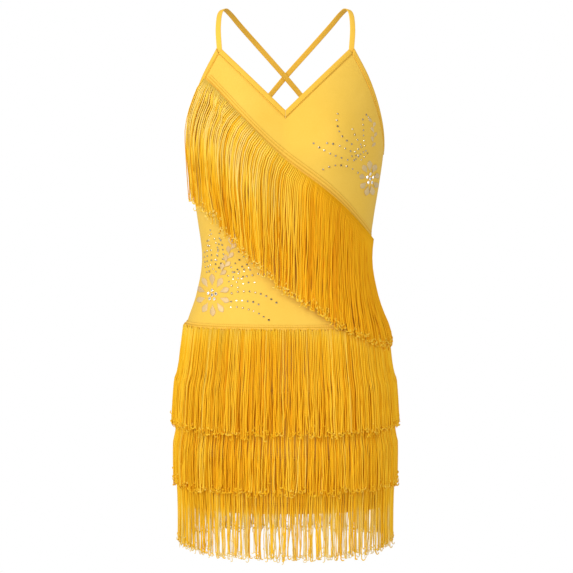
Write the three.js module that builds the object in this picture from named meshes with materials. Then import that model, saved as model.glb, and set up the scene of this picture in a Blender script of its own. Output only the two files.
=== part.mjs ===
// A latin dance dress: a fitted sleeveless body with a V neck and crossed back straps,
// one diagonal fringe over the bodice and three level tiers of fringe round the skirt.
// Millimetres, +Z up, the front faces -Y. The origin is where the shoulders carry the
// straps, midway between them. "Left" is -X.
import * as THREE from 'three';

// ---- Driving dimensions -----------------------------------------------------------
const CLOTH = 1.5; // wall of the stretch cloth
const SEAM_GAP = 0.3; // between two pieces that are sewn together
const BINDING_WIDTH = 8;
const STRAP_WIDTH = 8;
const TAPE_WIDTH = 11; // header tape that the strands hang from
const TAPE_THICKNESS = 1.4;
const FRINGE_THICKNESS = 3.6; // one tier of strands, lightly pressed
const LIE = 0.6; // height of a piece that lies on level columns of cloth
const LIE_ACROSS = 1.0; // height of a piece that runs across the columns

const UNDERARM = -201; // level of the armhole's lowest point
const STRAP_TIP = -59; // level where a front strap leaves the body
const CLOTH_HEM = -712;
const NECK_POINT = -149; // finished edge at the bottom of the V
const NECK_SLOPE = 0.984; // rise of the V's edge for each mm outwards
const BACK_SCOOP = -230; // finished edge at the centre back

const TAPE_TOPS = [-448, -535, -628]; // top edges of the three skirt tapes
const FRINGE_BOTTOMS = [-604, -685, -777];
const FLARE = 5.0; // how far a tier stands off where it passes the next tape

const DIAGONAL_LEFT = new THREE.Vector2(-105, -97); // ends of the bodice tape's top edge
const DIAGONAL_RIGHT = new THREE.Vector2(123, -316);
const DIAGONAL_EASE = 8; // how far the tape sways off the straight line
const BODICE_STRAND = 174; // length of the bodice strands
const BODICE_STRAND_RIGHT = 160; // the last ones at the right are trimmed shorter

// The general figure that the cloth is cut to: level, half width, front depth, back depth.
const FIGURE = [
  [0, 118, 42, 62],
  [-59, 131, 66, 80],
  [-100, 140.5, 86, 92],
  [-150, 144, 103, 98],
  [-201, 142, 110, 99],
  [-250, 135.5, 102, 90],
  [-300, 127.5, 92, 79],
  [-359, 121, 86, 72],
  [-410, 129.5, 91, 81],
  [-457, 144.5, 99, 96],
  [-530, 153.5, 108, 110],
  [-590, 156, 111, 115],
  [-650, 155.5, 112, 114],
  [-713, 153, 112, 111],
  [-790, 152, 112, 110],
];
const HALF_WIDTH = 1;
const FRONT_DEPTH = 2;
const BACK_DEPTH = 3;
const ROUNDNESS = 0.89; // 1 is an ellipse, less is squarer
const CUP = { x: 78, z: -192, across: 37, up: 48, depth: 19 }; // each bust cup

// ---- The figure ---------------------------------------------------------------------
const radians = THREE.MathUtils.degToRad;

/** A smooth curve through one column of FIGURE: cubic pieces with slopes from neighbours. */
function measure(column, z) {
  const last = FIGURE.length - 1;
  const at = THREE.MathUtils.clamp(z, FIGURE[last][0], FIGURE[0][0]);
  let i = 0;
  while (i < last - 1 && FIGURE[i + 1][0] > at) i += 1;
  const slope = (k) => {
    const a = FIGURE[Math.max(k - 1, 0)];
    const b = FIGURE[Math.min(k + 1, last)];
    return (b[column] - a[column]) / (b[0] - a[0]);
  };
  const [p, q] = [FIGURE[i], FIGURE[i + 1]];
  const span = q[0] - p[0];
  const t = (at - p[0]) / span;
  const level = p[column] * (1 + 2 * t) * (1 - t) ** 2 + q[column] * t * t * (3 - 2 * t);
  return level + span * t * (1 - t) * (slope(i) * (1 - t) - slope(i + 1) * t);
}

/** A point of the cloth's outer face: angle 0 is the centre front, 90 the +X side, 180 the back. */
function onFigure(angle, z) {
  const turn = radians(angle);
  const s = Math.sin(turn);
  const c = Math.cos(turn);
  const x = measure(HALF_WIDTH, z) * Math.sign(s) * Math.abs(s) ** ROUNDNESS;
  const reach = Math.abs(c) ** ROUNDNESS;
  if (c < 0) return new THREE.Vector3(x, measure(BACK_DEPTH, z) * reach, z);
  const across = (Math.abs(x) - CUP.x) / CUP.across;
  const up = (z - CUP.z) / CUP.up;
  const cup = CUP.depth * Math.exp(-(across ** 2 + up ** 2) / 2);
  return new THREE.Vector3(x, -(measure(FRONT_DEPTH, z) + cup) * reach, z);
}

/** The direction that the cloth faces, from two short steps along it. */
function facing(angle, z) {
  const around = onFigure(angle + 1, z).sub(onFigure(angle - 1, z));
  const upwards = onFigure(angle, z + 2).sub(onFigure(angle, z - 2));
  return around.cross(upwards).normalize();
}

/** A point moved out from the cloth's outer face by lift. */
function lifted(angle, z, lift) {
  return onFigure(angle, z).addScaledVector(facing(angle, z), lift);
}

/** The angle of the front (or back) of the figure at a place x across and z up. */
function angleAt(x, z, back = false) {
  const share = THREE.MathUtils.clamp(Math.abs(x) / measure(HALF_WIDTH, z), 0, 1);
  const angle = THREE.MathUtils.radToDeg(Math.asin(share ** (1 / ROUNDNESS)));
  return back ? 180 - Math.sign(x) * angle : Math.sign(x) * angle;
}

// ---- Making a wall -------------------------------------------------------------------
const steps = (count) => Array.from({ length: count + 1 }, (_, i) => i / count);

/**
 * A closed wall between two grids of points, inner[row][column] and outer[row][column].
 * Rows go up and columns to the right as seen from outside; a ring joins its last column
 * to its first.
 */
function wall(inner, outer, ring = false) {
  const rows = inner.length;
  const columns = inner[0].length;
  const positions = [...inner.flat(), ...outer.flat()].flatMap((p) => p.toArray());
  const id = (layer, r, c) => layer * rows * columns + r * columns + (c % columns);
  const indices = [];
  const quad = (a, b, c, d) => indices.push(a, b, c, a, c, d);
  const lastColumn = ring ? columns : columns - 1;
  for (let r = 0; r < rows - 1; r += 1) {
    for (let c = 0; c < lastColumn; c += 1) {
      quad(id(1, r, c), id(1, r, c + 1), id(1, r + 1, c + 1), id(1, r + 1, c));
      quad(id(0, r, c), id(0, r + 1, c), id(0, r + 1, c + 1), id(0, r, c + 1));
    }
  }
  const top = rows - 1;
  for (let c = 0; c < lastColumn; c += 1) {
    quad(id(0, 0, c), id(0, 0, c + 1), id(1, 0, c + 1), id(1, 0, c));
    quad(id(0, top, c), id(1, top, c), id(1, top, c + 1), id(0, top, c + 1));
  }
  const right = columns - 1;
  for (let r = 0; r < rows - 1 && !ring; r += 1) {
    quad(id(0, r, 0), id(1, r, 0), id(1, r + 1, 0), id(0, r + 1, 0));
    quad(id(0, r, right), id(0, r + 1, right), id(1, r + 1, right), id(1, r, right));
  }
  const geometry = new THREE.BufferGeometry();
  geometry.setAttribute('position', new THREE.Float32BufferAttribute(positions, 3));
  geometry.setIndex(indices);
  geometry.computeVertexNormals();
  return geometry;
}

/** A wall over a grid of [angle, z] places, from lift low to lift high. */
function clothWall(places, low, high, ring = false) {
  const layer = (lift) => places.map((row) => row.map(([angle, z]) => lifted(angle, z, lift)));
  return wall(layer(low), layer(high), ring);
}

// ---- Edges of the cut ------------------------------------------------------------------
const ARMHOLE_RISE = STRAP_TIP - UNDERARM;
const ARMHOLE_SWEEP = 44; // degrees that the armhole runs round to the front
const ARMHOLE_BEND = 0.72; // below 1 it is level under the arm and steep above
const SEAM_SWEEP = 3; // degrees more that the binding's inner edge runs round
const SEAM_BEND = 0.3; // nearly all of them just above the underarm
const EDGE_TURN = Math.hypot(1, NECK_SLOPE); // slant length for each mm across the V

/** Finished armhole edge, from 0 under the arm to 1 at the strap tip. */
const armholeEdge = (q) => [90 - ARMHOLE_SWEEP * q ** ARMHOLE_BEND, UNDERARM + ARMHOLE_RISE * q];

/** Inner edge of the armhole binding, a binding's width inside the finished edge. */
const armholeSeam = (q) => [
  90 - ARMHOLE_SWEEP * q ** ARMHOLE_BEND - SEAM_SWEEP * q ** SEAM_BEND,
  UNDERARM - BINDING_WIDTH + ARMHOLE_RISE * q,
];

/** Level of the V's edge at x, inset by a width measured square to it. */
const neckLevel = (x, inset) => NECK_POINT + NECK_SLOPE * Math.abs(x) - inset * EDGE_TURN;

/** Finished edge of the back: level at the sides, softly scooped between the straps. */
function backLevel(angle) {
  const share = Math.abs(Math.sin(radians(angle))) ** ROUNDNESS;
  return THREE.MathUtils.lerp(BACK_SCOOP, UNDERARM, THREE.MathUtils.smoothstep(share, 0.04, 0.78));
}

/** Halves an interval until value(t) changes sign there. */
function crossing(value, low, high) {
  let [a, b] = [low, high];
  for (let i = 0; i < 40; i += 1) {
    const middle = (a + b) / 2;
    if (value(a) * value(middle) <= 0) b = middle;
    else a = middle;
  }
  return (a + b) / 2;
}

/** Where the armhole seam meets the neck seam, so where the panel comes to its tip. */
const TIP = crossing((q) => {
  const [angle, z] = armholeSeam(q);
  return z - neckLevel(onFigure(angle, z).x, BINDING_WIDTH);
}, 0.6, 1);

// ---- Panels ------------------------------------------------------------------------------
const HALF_COLUMNS = 24; // columns of cloth from side seam to side seam
const SEAM_ANGLE = 0.09; // half of the side seam's gap, in degrees
const EDGE_GAP_ANGLE = 0.35; // gap to the armhole binding, in degrees
const LEVELS = [CLOTH_HEM, -650, -590, -530, -492, -457, -430, -405, -380, -359, -330, -300, -275];
const FRONT_LEVELS = [...LEVELS, -250, -229, UNDERARM - BINDING_WIDTH - SEAM_GAP];
const BACK_LEVELS = [...LEVELS, -253];
const BACK_ANGLES = steps(HALF_COLUMNS).map((t) => 90 + SEAM_ANGLE + t * (180 - 2 * SEAM_ANGLE));
const ARMHOLE_STEPS = steps(10).map((t) => t ** 1.3); // closer together under the arm
const TIP_GAP = 0.8; // the pieces stop this short of the sharp tips

/** Angle of the front panel's edge at height z above the underarm seam. */
function sideAngle(z) {
  const q = Math.max(0, (z + SEAM_GAP - UNDERARM + BINDING_WIDTH) / ARMHOLE_RISE);
  return Math.min(90 - SEAM_ANGLE, armholeSeam(q)[0] - EDGE_GAP_ANGLE);
}

function frontPanel() {
  const start = FRONT_LEVELS.at(-1);
  const sides = steps(HALF_COLUMNS).map((t) => 2 * t - 1);
  const tipLevel = armholeSeam(TIP)[1] - TIP_GAP;
  const tops = sides.map((side) => {
    if (Math.abs(side) > 0.999) return tipLevel;
    return crossing((z) => {
      const { x } = onFigure(side * sideAngle(z), z);
      return z - neckLevel(x, BINDING_WIDTH + SEAM_GAP + 0.1);
    }, start, tipLevel + 5);
  });
  const low = FRONT_LEVELS.map((z) => sides.map((side) => [side * (90 - SEAM_ANGLE), z]));
  const high = ARMHOLE_STEPS.slice(1).map((t) => sides.map((side, i) => {
    const z = start + t * (Math.min(tops[i], tipLevel) - start);
    return [side * sideAngle(z), z];
  }));
  return clothWall([...low, ...high], -CLOTH, 0);
}

function backPanel() {
  const start = BACK_LEVELS.at(-1);
  const low = BACK_LEVELS.map((z) => BACK_ANGLES.map((a) => [a, z]));
  const high = steps(2).slice(1).map((t) => BACK_ANGLES.map((a) => {
    const top = backLevel(a) - BINDING_WIDTH - SEAM_GAP;
    return [a, start + t * (top - start)];
  }));
  return clothWall([...low, ...high], -CLOTH, 0);
}

// ---- Bindings ----------------------------------------------------------------------------
const BINDING_INSIDE = -CLOTH - 0.1;
const BINDING_OUTSIDE = 0.5;
const SEAM_END_GAP = 0.6; // gap between the two bindings' inner edges at the tip
const TIP_SHARE_GAP = 0.012; // the same, as a share of the armhole's rise

/** Turns a grid of places into the same grid on the other side of the centre front. */
const mirrored = (places) => places.map((row) => row.map(([a, z]) => [-a, z]).reverse());

function neckBinding(side) {
  const [tipAngle, tipLevel] = armholeSeam(TIP);
  const seamEnd = onFigure(tipAngle, tipLevel).x - SEAM_END_GAP;
  const edgeEnd = seamEnd - BINDING_WIDTH * NECK_SLOPE / EDGE_TURN + TIP_GAP;
  const start = SEAM_GAP / 2; // half of the mitre's gap
  const place = (t, end, inset) => {
    const x = start + t * (end - start);
    const z = neckLevel(x, inset);
    return [angleAt(x, z), z];
  };
  const along = steps(14);
  const places = [
    along.map((t) => place(t, seamEnd, BINDING_WIDTH)),
    along.map((t) => place(t, edgeEnd, 0)),
  ];
  return clothWall(side < 0 ? mirrored(places) : places, BINDING_INSIDE, BINDING_OUTSIDE);
}

function armholeBinding(side) {
  const along = [...ARMHOLE_STEPS].reverse();
  const clear = ([angle, z]) => [Math.min(angle, 90 - SEAM_ANGLE), z];
  const seam = along.map((t) => clear(armholeSeam(t * (TIP - TIP_SHARE_GAP))));
  const edge = along.map((t) => clear(armholeEdge(t)));
  const places = [seam, edge];
  return clothWall(side < 0 ? mirrored(places) : places, BINDING_INSIDE, BINDING_OUTSIDE);
}

function backBinding() {
  const places = [BINDING_WIDTH, 0].map((inset) => (
    BACK_ANGLES.map((a) => [a, backLevel(a) - inset])
  ));
  return clothWall(places, BINDING_INSIDE, BINDING_OUTSIDE);
}

// ---- Straps --------------------------------------------------------------------------------
const STRAP_INSIDE = -4.1; // a strap's ends are sewn to the wrong side of the edges
const SHOULDER = new THREE.Vector3(0, 0, -72); // centre that the shoulder's surface rounds
const SHOULDER_ROUND = 72; // how high and how deep that surface is
const BACK_ROUND = 60;
const SIDE_TILT = 0.003; // how little the straps tip outwards, for each mm from the middle

/** A strap as a flat band from the front tip at side (-1 left, 1 right) to the other side's back. */
function strap(side, crossingLift) {
  const place = (x, z, lift, back) => {
    const angle = angleAt(x, z, back);
    return lifted(angle, z, lift);
  };
  const route = [
    place(94.5, -76, STRAP_INSIDE + CLOTH / 2, false),
    place(94.6, -62, STRAP_INSIDE + CLOTH / 2 + SEAM_GAP, false),
    new THREE.Vector3(95.6, -34, -30),
    new THREE.Vector3(93.5, -14, -5.5),
    new THREE.Vector3(88.5, 0, CLOTH / 2),
    new THREE.Vector3(81, 22, -3),
    new THREE.Vector3(66, 47, -19),
    new THREE.Vector3(40, 73, -46.5),
    place(0.01, -90.5, crossingLift, true),
    place(-27.6, -122.5, 0, true),
    place(-60, -160, -1.6, true),
    place(-85, -189, STRAP_INSIDE + CLOTH / 2 + 0.4, true),
    place(-95, -200.5, STRAP_INSIDE + CLOTH / 2, true),
  ];
  const path = new THREE.CatmullRomCurve3(route, false, 'centripetal');
  const at = steps(30);
  const section = (t, across, out) => {
    const point = path.getPointAt(t);
    const along = path.getTangentAt(t);
    const rise = Math.max(0, (point.z - SHOULDER.z) / SHOULDER_ROUND);
    const normal = new THREE.Vector3(point.x * SIDE_TILT, point.y / BACK_ROUND, rise);
    normal.addScaledVector(along, -normal.dot(along)).normalize();
    const width = normal.clone().cross(along);
    return point.addScaledVector(width, across * STRAP_WIDTH / 2).addScaledVector(normal, out * CLOTH / 2);
  };
  const layer = (out) => [-1, 1].map((across) => at.map((t) => section(t, across, out)));
  const geometry = wall(layer(-1), layer(1));
  if (side > 0) return geometry;
  geometry.scale(-1, 1, 1);
  const index = geometry.getIndex();
  for (let i = 0; i < index.count; i += 3) {
    const first = index.getX(i);
    index.setX(i, index.getX(i + 1));
    index.setX(i + 1, first);
  }
  geometry.computeVertexNormals();
  return geometry;
}

// ---- Skirt tiers -----------------------------------------------------------------------------
const RING_ANGLES = steps(2 * HALF_COLUMNS).slice(0, -1).map((t) => -90 + 360 * t);

function skirtTape(tier) {
  const top = TAPE_TOPS[tier];
  const places = [top - TAPE_WIDTH, top].map((z) => RING_ANGLES.map((angle) => [angle, z]));
  return clothWall(places, LIE, LIE + TAPE_THICKNESS, true);
}

/**
 * How each tier hangs, as [level, lift] from its bottom up: on the cloth under its tape,
 * and standing off where it passes the next tape and tier.
 */
const TIER_HANG = [
  [[FRINGE_BOTTOMS[0], 6.5], [TAPE_TOPS[1] + 3, FLARE], [TAPE_TOPS[1] + 17, 0.8], [-492, LIE]],
  [[FRINGE_BOTTOMS[1], 5.6], [TAPE_TOPS[2] + 3, FLARE], [TAPE_TOPS[2] + 17, 0.8], [-590, LIE]],
  [[FRINGE_BOTTOMS[2], 1], [CLOTH_HEM, 1], [-650, 1]],
];

/** One tier of strands as a closed wall of their reach, from its tape down. */
function skirtFringe(tier) {
  const rows = [...TIER_HANG[tier], [TAPE_TOPS[tier] - TAPE_WIDTH - SEAM_GAP, LIE]];
  const layer = (extra) => rows.map(([z, lift]) => (
    RING_ANGLES.map((angle) => lifted(angle, z, lift + extra))
  ));
  return wall(layer(0), layer(FRINGE_THICKNESS), true);
}

// ---- Bodice tape and fringe --------------------------------------------------------------------
const DIAGONAL_COLUMNS = 24;
const DIAGONAL_SLANT = 1.39; // tape height measured straight down, for each mm of its width
const STRAND_STEPS = 12;
const SUBSTEPS = 4;
const CONTACT = 0.4; // a strand this near the figure rests on it
const EXIT = new THREE.Vector3(-1.25, 0, -1); // about square to the tape
const TURN_LEFT = 62; // length over which a strand turns from there to plumb
const TURN_RIGHT = 5;
const BODICE_FRINGE_THICKNESS = 4.2;
const BODICE_LIE = 2; // lift where they lie on the cloth
const OVER_SKIRT = FLARE + 1; // lift where the bodice strands lie on the first tier

/** Level of the diagonal tape's top edge at x: straight, swaying down over the first half. */
function diagonalLevel(x) {
  const t = (x - DIAGONAL_LEFT.x) / (DIAGONAL_RIGHT.x - DIAGONAL_LEFT.x);
  const straight = THREE.MathUtils.lerp(DIAGONAL_LEFT.y, DIAGONAL_RIGHT.y, t);
  return straight - DIAGONAL_EASE * Math.sin(2 * Math.PI * Math.max(t, 0) ** 1.25);
}

/** Places along the tape's top edge, evenly round the figure: each is its x. */
const DIAGONAL_XS = steps(DIAGONAL_COLUMNS).map((t) => {
  const from = angleAt(DIAGONAL_LEFT.x, DIAGONAL_LEFT.y);
  const to = angleAt(DIAGONAL_RIGHT.x, DIAGONAL_RIGHT.y);
  const angle = THREE.MathUtils.lerp(from, to, t);
  return crossing(
    (x) => onFigure(angle, diagonalLevel(x)).x - x,
    DIAGONAL_LEFT.x - 2,
    DIAGONAL_RIGHT.x + 2,
  );
});

/** The tape's bottom edge below share t of its top edge: square to it at the left end. */
function belowTape(t, x, gap) {
  const across = x - (1 - t) * TAPE_WIDTH * Math.SQRT1_2;
  return [across, diagonalLevel(across) - TAPE_WIDTH * DIAGONAL_SLANT - gap];
}

function bodiceTape() {
  const place = ([x, z]) => [angleAt(x, z), z];
  const top = DIAGONAL_XS.map((x) => place([x, diagonalLevel(x)]));
  const bottom = DIAGONAL_XS.map((x, i) => place(belowTape(i / DIAGONAL_COLUMNS, x, 0)));
  return clothWall([bottom, top], LIE_ACROSS, LIE_ACROSS + TAPE_THICKNESS);
}

/** The figure's angle at a point of its surface, from its shares of the width and depth. */
function angleOf(point) {
  const across = Math.abs(point.x) / measure(HALF_WIDTH, point.z);
  const depth = point.y > 0 ? measure(BACK_DEPTH, point.z) : measure(FRONT_DEPTH, point.z);
  const along = Math.abs(point.y) / depth;
  const quarter = THREE.MathUtils.radToDeg(
    Math.atan2(across ** (1 / ROUNDNESS), along ** (1 / ROUNDNESS)),
  );
  return Math.sign(point.x) * (point.y > 0 ? 180 - quarter : quarter);
}

/** The figure's angle beneath a point that stands above its surface by lift. */
function angleUnder(point, lift) {
  let angle = angleOf(point);
  for (let i = 0; i < 3; i += 1) {
    angle = angleOf(point.clone().addScaledVector(facing(angle, point.z).setZ(0), -lift));
  }
  return angle;
}

/** How high the bodice strands lie above the cloth: higher over the first skirt tier. */
function strandLift(z) {
  const overSkirt = 1 - THREE.MathUtils.smoothstep(z, TAPE_TOPS[0] + 1, TAPE_TOPS[0] + 26);
  return THREE.MathUtils.lerp(BODICE_LIE, OVER_SKIRT, overSkirt);
}

/**
 * The way a strand falls from share t along the tape: it leaves square to the tape, turns
 * down the steepest way while the figure widens under it, hangs plumb where the figure
 * falls away, and runs out over it where they meet again. Each point is [place, facing].
 */
function strandFall(t, x) {
  const [across, start] = belowTape(t, x, SEAM_GAP + 0.2);
  const length = THREE.MathUtils.lerp(BODICE_STRAND, BODICE_STRAND_RIGHT, t ** 3);
  const turning = THREE.MathUtils.lerp(TURN_LEFT, TURN_RIGHT, Math.min(1, t / 0.5));
  const step = length / STRAND_STEPS / SUBSTEPS;
  const point = lifted(angleAt(across, start), start, strandLift(start));
  const fall = [[point.clone(), facing(angleAt(across, start), start)]];
  for (let i = 1; i <= STRAND_STEPS * SUBSTEPS; i += 1) {
    const here = facing(angleUnder(point, strandLift(point.z)), point.z);
    const way = new THREE.Vector3(0, 0, -1);
    if (here.z > 0) way.addScaledVector(here, here.z).normalize();
    const square = EXIT.clone().addScaledVector(here, -here.dot(EXIT)).normalize();
    way.lerp(square, Math.exp(-i * step / turning)).normalize();
    point.addScaledVector(way, step);
    const lift = strandLift(point.z);
    const angle = angleUnder(point, lift);
    const floor = lifted(angle, point.z, lift);
    if (Math.hypot(point.x, point.y) < Math.hypot(floor.x, floor.y) + CONTACT) {
      point.x = floor.x;
      point.y = floor.y;
    }
    if (i % SUBSTEPS === 0) fall.push([point.clone(), facing(angle, point.z).setZ(0).normalize()]);
  }
  return fall;
}

function bodiceFringe() {
  const falls = DIAGONAL_XS.map((x, i) => strandFall(i / DIAGONAL_COLUMNS, x));
  const rows = steps(STRAND_STEPS).map((_, i) => STRAND_STEPS - i);
  const layer = (thickness) => rows.map((i) => (
    falls.map((fall) => fall[i][0].clone().addScaledVector(fall[i][1], thickness))
  ));
  return wall(layer(0), layer(BODICE_FRINGE_THICKNESS));
}

// ---- The dress ----------------------------------------------------------------------------------
const cloth = (color) => new THREE.MeshStandardMaterial({ color, roughness: 0.6, metalness: 0 });
const dress = new THREE.Group();

function sew(name, geometry, material) {
  const mesh = new THREE.Mesh(geometry, material);
  mesh.name = name;
  dress.add(mesh);
}

sew('front_panel', frontPanel(), cloth(0xf7c649));
sew('back_panel', backPanel(), cloth(0xf2bd3c));
sew('neck_binding_left', neckBinding(-1), cloth(0xe9b132));
sew('neck_binding_right', neckBinding(1), cloth(0xeab434));
sew('armhole_binding_left', armholeBinding(-1), cloth(0xe8b030));
sew('armhole_binding_right', armholeBinding(1), cloth(0xe6ad2e));
sew('back_binding', backBinding(), cloth(0xe4aa2c));
sew('strap_left', strap(-1, 0.5), cloth(0xf0bb3d));
sew('strap_right', strap(1, 3.5), cloth(0xeeb83a));
sew('bodice_tape', bodiceTape(), cloth(0xdcae45));
sew('bodice_fringe', bodiceFringe(), cloth(0xeda91c));
for (let tier = 0; tier < TAPE_TOPS.length; tier += 1) {
  sew(`skirt_tape_${tier + 1}`, skirtTape(tier), cloth(0xdcae45));
  sew(`skirt_fringe_${tier + 1}`, skirtFringe(tier), cloth(0xe8a318 - tier * 0x020200));
}

export default dress;
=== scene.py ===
# %% [markdown]
# # A latin dance dress
# This lesson dresses a fixed CAD frame in the looks of the real thing: a fitted golden body,
# one diagonal fringe over the bodice, three tiers of fringe round the skirt, bound edges,
# crossed straps and glued stones. The frame comes first, because every piece is placed by it.

import bpy
import numpy as np
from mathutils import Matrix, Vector


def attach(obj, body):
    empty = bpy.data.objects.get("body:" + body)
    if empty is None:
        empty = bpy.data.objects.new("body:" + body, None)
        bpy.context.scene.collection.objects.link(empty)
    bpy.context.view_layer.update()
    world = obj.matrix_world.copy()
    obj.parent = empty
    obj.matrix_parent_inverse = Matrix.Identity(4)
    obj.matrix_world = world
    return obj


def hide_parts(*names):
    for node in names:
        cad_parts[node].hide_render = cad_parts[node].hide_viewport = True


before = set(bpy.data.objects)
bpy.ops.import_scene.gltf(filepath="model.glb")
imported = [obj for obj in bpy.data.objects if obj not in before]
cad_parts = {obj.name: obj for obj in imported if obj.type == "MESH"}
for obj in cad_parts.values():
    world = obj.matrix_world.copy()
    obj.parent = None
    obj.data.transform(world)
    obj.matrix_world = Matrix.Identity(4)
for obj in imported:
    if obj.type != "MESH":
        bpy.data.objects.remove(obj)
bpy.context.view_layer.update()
random = np.random.default_rng(26)

# %% [markdown]
# ## Sizes
# A dressmaker works in millimetres, so all shapes below are worked out in millimetres and
# turned into metres in one place, where a mesh is made. The sizes are those of the CAD part,
# but the cloth is as thin as real knit. Heights are below the top of the shoulders.

# %% Sizes of the cut, in millimetres
MM = 0.001
CLOTH = 0.9
BINDING_WIDTH = 8.0
STRAP_WIDTH = 8.0
TAPE_WIDTH = 11.0
UNDERARM = -201.0
STRAP_TIP = -59.0
CLOTH_HEM = -712.0
NECK_POINT = -149.0
NECK_SLOPE = 0.984
BACK_SCOOP = -230.0
TAPE_TOPS = (-448.0, -535.0, -628.0)
FRINGE_BOTTOMS = (-604.0, -685.0, -777.0)

# level, half width, front depth and back depth of the general figure the cloth is cut to
FIGURE = np.array([
    [0, 118, 42, 62],
    [-59, 131, 66, 80],
    [-100, 140.5, 86, 92],
    [-150, 144, 103, 98],
    [-201, 142, 110, 99],
    [-250, 135.5, 102, 90],
    [-300, 127.5, 92, 79],
    [-359, 121, 86, 72],
    [-410, 129.5, 91, 81],
    [-457, 144.5, 99, 96],
    [-530, 153.5, 108, 110],
    [-590, 156, 111, 115],
    [-650, 155.5, 112, 114],
    [-713, 153, 112, 111],
    [-790, 152, 112, 110],
])[::-1]
HALF_WIDTH, FRONT_DEPTH, BACK_DEPTH = 1, 2, 3
ROUNDNESS = 0.89
CUP = {"x": 78, "z": -192, "across": 37, "up": 48, "depth": 19}
print("widest half width", FIGURE[:, HALF_WIDTH].max(), "mm")

# %% [markdown]
# ## The figure
# Stretch cloth takes the shape of the body in it. The body here is a formula, a rounded
# section whose width and depths change smoothly with height, so that every piece of the
# dress can be laid on it exactly: give an angle round the body, a height and how far the
# piece stands off, and the formula gives the point. Sculpting would not give that.

# %% The figure as a formula
def cubic(levels, values, slopes, at):
    """Cubic pieces through rows of values, with the given slopes, read at places at."""
    i = np.clip(np.searchsorted(levels, at, side="right") - 1, 0, len(levels) - 2)
    span = (levels[i + 1] - levels[i])[..., None]
    t = (at - levels[i])[..., None] / span
    level = values[i] * (1 + 2 * t) * (1 - t) ** 2 + values[i + 1] * t * t * (3 - 2 * t)
    return level + span * t * (1 - t) * (slopes[i] * (1 - t) - slopes[i + 1] * t)


def measure(column, z):
    """A width or depth of FIGURE at heights z. The slope at a level is from its neighbours."""
    levels, values = FIGURE[:, 0], FIGURE[:, column, None]
    before = np.maximum(np.arange(len(levels)) - 1, 0)
    after = np.minimum(np.arange(len(levels)) + 1, len(levels) - 1)
    slopes = (values[after] - values[before]) / (levels[after] - levels[before])[:, None]
    return cubic(levels, values, slopes, np.clip(z, levels[0], levels[-1]))[..., 0]


def on_figure(angle, z):
    """Points of the cloth's outer face: x = width * sin, y = -depth * cos, both rounded."""
    angle, z = np.broadcast_arrays(np.asarray(angle, float), np.asarray(z, float))
    sine, cosine = np.sin(np.radians(angle)), np.cos(np.radians(angle))
    x = measure(HALF_WIDTH, z) * np.sign(sine) * np.abs(sine) ** ROUNDNESS
    reach = np.abs(cosine) ** ROUNDNESS
    across = (np.abs(x) - CUP["x"]) / CUP["across"]
    up = (z - CUP["z"]) / CUP["up"]
    cup = CUP["depth"] * np.exp(-(across ** 2 + up ** 2) / 2)
    front = -(measure(FRONT_DEPTH, z) + cup) * reach
    back = measure(BACK_DEPTH, z) * reach
    return np.stack([x, np.where(cosine < 0, back, front), z], axis=-1)


def unit(vectors):
    """The same directions, each of length one."""
    return vectors / np.maximum(np.linalg.norm(vectors, axis=-1, keepdims=True), 1e-9)


def facing(angle, z):
    """The way the cloth faces: the cross product of a step round it and a step up it."""
    angle, z = np.asarray(angle, float), np.asarray(z, float)
    around = on_figure(angle + 1, z) - on_figure(angle - 1, z)
    upwards = on_figure(angle, z + 2) - on_figure(angle, z - 2)
    return unit(np.cross(around, upwards))


def lifted(angle, z, lift):
    """Points that stand off the cloth's outer face by lift."""
    return on_figure(angle, z) + facing(angle, z) * np.asarray(lift, float)[..., None]


def pair(first, second):
    """Two equal arrays as one array of pairs."""
    return np.stack([first, second], axis=-1)


def run_length(points):
    """Distance along each path from its first point, for points[..., step, xyz]."""
    steps = np.linalg.norm(np.diff(points, axis=-2), axis=-1).cumsum(axis=-1)
    return np.concatenate([np.zeros(steps[..., :1].shape), steps], axis=-1)


def angle_at(x, z, back=False):
    """The angle of the front, or back, at a place x across and z up."""
    share = np.clip(np.abs(x) / measure(HALF_WIDTH, z), 0, 1)
    angle = np.degrees(np.arcsin(share ** (1 / ROUNDNESS)))
    return 180 - np.sign(x) * angle if back else np.sign(x) * angle


print("bust half width", float(measure(HALF_WIDTH, UNDERARM)), "mm")

# %% [markdown]
# ## Two ways to make a mesh
# Nearly every piece is one of two things: a wall, which is a grid of points with a second
# grid behind it and a rim, or a bundle of tubes along paths. Both are worked out as whole
# arrays and handed to Blender in one go, which is quick even for a hundred thousand faces.

# %% Meshes from arrays
CRISP = 40


def link(name, data):
    """A new object with this data, in the scene."""
    made = bpy.data.objects.new(name, data)
    bpy.context.scene.collection.objects.link(made)
    return made


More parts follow.
